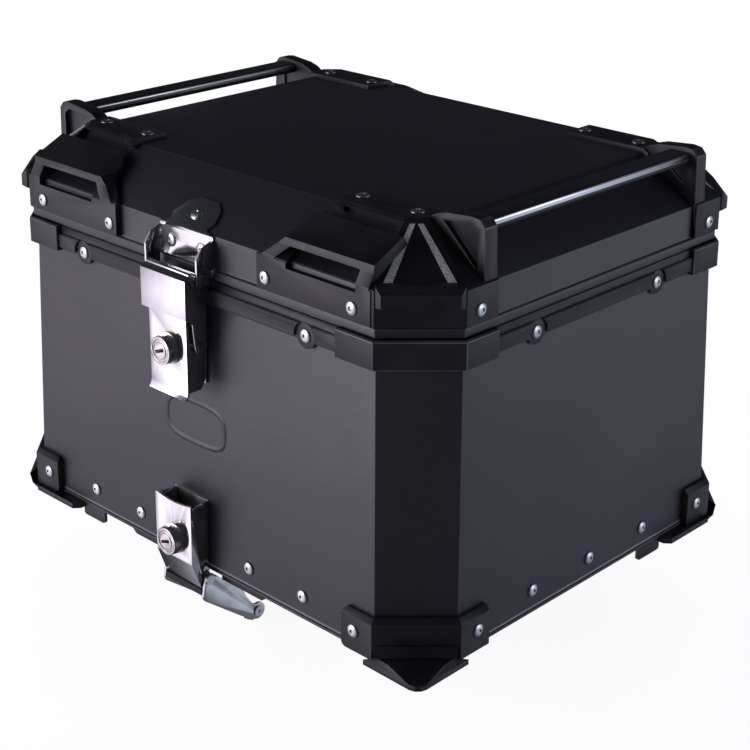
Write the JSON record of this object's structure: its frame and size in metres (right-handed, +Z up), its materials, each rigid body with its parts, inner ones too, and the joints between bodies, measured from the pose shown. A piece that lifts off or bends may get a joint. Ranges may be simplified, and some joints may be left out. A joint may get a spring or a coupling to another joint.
{
  "type": "motorcycle top case",
  "caption": "Hard luggage case with tapered metal shell, hinged lid, corner guards, side rails, lever latch with key lock and a rack clamp latch.",
  "frame": {"origin": "centre of the four rack bolt holes, on the underside of the floor plate", "axes": "+Z up; -Y the face with the latches; +Y the hinge side; X across the case"},
  "size_m": [0.4488, 0.3842, 0.3422],
  "materials": {
    "shell_paint": "fine textured powder coat",
    "grained_plastic": "fine grained moulding",
    "rail_metal": "polished flank, dark top",
    "reflective": "retro-reflective film",
    "polished_steel": "polished stainless steel",
    "satin_steel": "satin stainless steel",
    "rivet_metal": "bright rivet head",
    "lock_brass": "nickel plated",
    "seal_rubber": "soft rubber",
    "mat_rubber": "ribbed mat",
    "dark_steel": "black coated steel"
  },
  "bodies": {
    "case": {"base_guard_bl": "grained_plastic", "base_guard_br": "grained_plastic", "base_guard_fl": "grained_plastic", "base_guard_fr": "grained_plastic", "body_shell": "shell_paint", "case_rivets_front": "rivet_metal", "case_rivets_left": "rivet_metal", "case_rivets_rear": "rivet_metal", "case_rivets_right": "rivet_metal", "floor_mat": "mat_rubber", "floor_plate": "shell_paint", "front_pads": "grained_plastic", "hinge_leaves_body": "dark_steel", "hinge_pins": "satin_steel", "hinge_rivets_body": "rivet_metal", "lower_latch_base": "satin_steel", "lower_pivot_pins": "satin_steel", "rack_hooks": "dark_steel", "rim_corner_bl": "grained_plastic", "rim_corner_br": "grained_plastic", "rim_corner_fl": "grained_plastic", "rim_corner_fr": "grained_plastic", "rim_gasket": "seal_rubber", "rim_strip_front": "grained_plastic", "rim_strip_left": "grained_plastic", "rim_strip_rear": "grained_plastic", "rim_strip_right": "grained_plastic", "upper_latch_base": "satin_steel", "upper_pivot_pins": "satin_steel"},
    "lid": {"hinge_leaves_lid": "dark_steel", "hinge_rivets_lid": "rivet_metal", "keeper_bracket": "polished_steel", "keeper_pin": "polished_steel", "keeper_rivets": "rivet_metal", "lid_guard_bl": "grained_plastic", "lid_guard_br": "grained_plastic", "lid_guard_fl": "grained_plastic", "lid_guard_fr": "grained_plastic", "lid_rivets_left": "rivet_metal", "lid_rivets_right": "rivet_metal", "lid_shell": "shell_paint", "rail_fin_bl": "grained_plastic", "rail_fin_br": "grained_plastic", "rail_fin_fl": "grained_plastic", "rail_fin_fr": "grained_plastic", "rail_left": "rail_metal", "rail_right": "rail_metal", "reflectors": "reflective"},
    "upper_lever": {"upper_lever": "polished_steel", "upper_link_pins": "satin_steel", "upper_lock_barrel": "lock_brass"},
    "upper_hook": {"upper_hook": "polished_steel"},
    "upper_plug": {"upper_lock_plug": "lock_brass"},
    "lower_lever": {"finger_lip": "seal_rubber", "lower_lever": "polished_steel", "lower_link_pins": "satin_steel", "lower_lock_barrel": "lock_brass"},
    "rack_hook": {"hook_crossbar": "satin_steel", "rack_hook": "satin_steel"},
    "lower_plug": {"lower_lock_plug": "lock_brass"}
  },
  "joints": [
    {"name": "lid_hinge", "type": "hinge", "parent": "case", "child": "lid", "pos_m": [0, 0.18, 0.2135], "axis": [-1, 0, 0], "range_deg": [0, 100]},
    {"name": "upper_lever_hinge", "type": "hinge", "parent": "case", "child": "upper_lever", "pos_m": [0, -0.18, 0.186], "axis": [-1, 0, 0], "range_deg": [0, 90]},
    {"name": "upper_hook_link", "type": "hinge", "parent": "upper_lever", "child": "upper_hook", "pos_m": [0, -0.1805, 0.17], "axis": [-1, 0, 0], "range_deg": [-90, 0]},
    {"name": "upper_key_turn", "type": "hinge", "parent": "upper_lever", "child": "upper_plug", "pos_m": [0, -0.195, 0.166], "axis": [0, -1, 0], "range_deg": [0, 90]},
    {"name": "lower_lever_hinge", "type": "hinge", "parent": "case", "child": "lower_lever", "pos_m": [0, -0.184, 0.046], "axis": [-1, 0, 0], "range_deg": [0, 86]},
    {"name": "rack_hook_link", "type": "hinge", "parent": "lower_lever", "child": "rack_hook", "pos_m": [0, -0.179, -0.0055], "axis": [-1, 0, 0], "range_deg": [-40, 20]},
    {"name": "lower_key_turn", "type": "hinge", "parent": "lower_lever", "child": "lower_plug", "pos_m": [0, -0.196, 0.024], "axis": [0, -1, 0], "range_deg": [0, 90]}
  ],
  "couplings": [
    {"joint": "upper_hook_link", "follows": "upper_lever_hinge", "ratio": -1}
  ]
}
